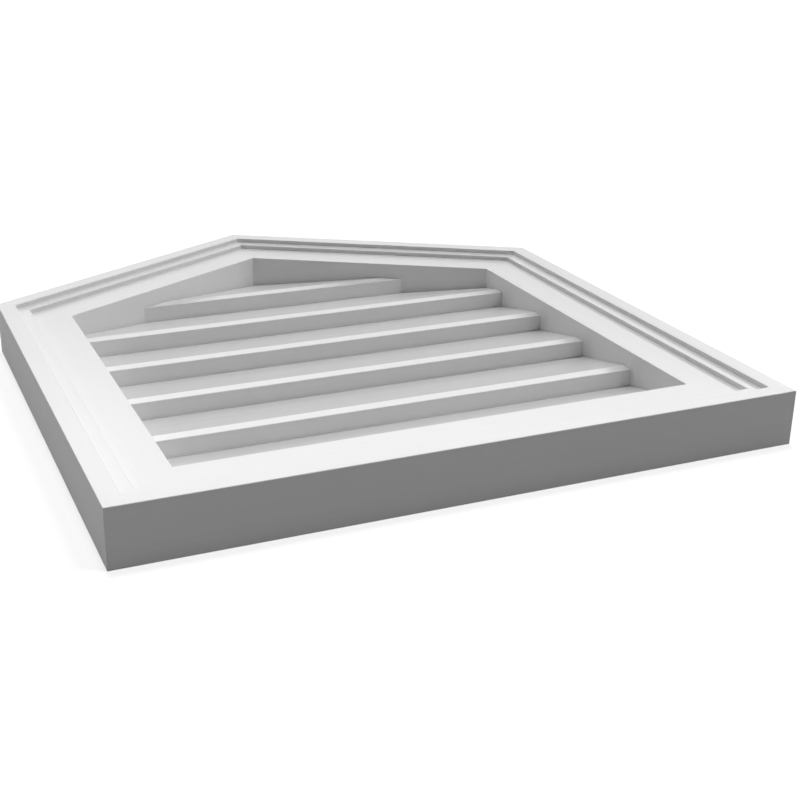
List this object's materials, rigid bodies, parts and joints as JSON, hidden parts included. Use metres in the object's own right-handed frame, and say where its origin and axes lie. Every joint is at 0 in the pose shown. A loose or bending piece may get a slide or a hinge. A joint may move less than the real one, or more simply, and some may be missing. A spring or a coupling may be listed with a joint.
{
  "type": "gable vent",
  "caption": "Peaked gable vent: a stepped, mitred frame round closed, bevelled louvre boards, made to be fixed flat on a gable wall.",
  "frame": {"origin": "middle of the flat back, halfway between the stiles and halfway from the bottom edge to the peak", "axes": "the vent lies on its back: +X along the bottom rail to the viewer's right, +Y from the bottom rail to the peak, +Z out of the louvred face"},
  "size_m": [0.4572, 0.508, 0.0381],
  "materials": {
    "frame": "white cellular PVC moulding with a fine satin skin",
    "louvres": "white cellular PVC board with a fine satin skin"
  },
  "bodies": {
    "root": {"bottom_rail": "frame", "right_stile": "frame", "right_rake": "frame", "left_rake": "frame", "left_stile": "frame", "louvre_board_1": "louvres", "louvre_board_2": "louvres", "louvre_board_3": "louvres", "louvre_board_4": "louvres", "louvre_board_5": "louvres", "louvre_board_6": "louvres"}
  },
  "joints": []
}
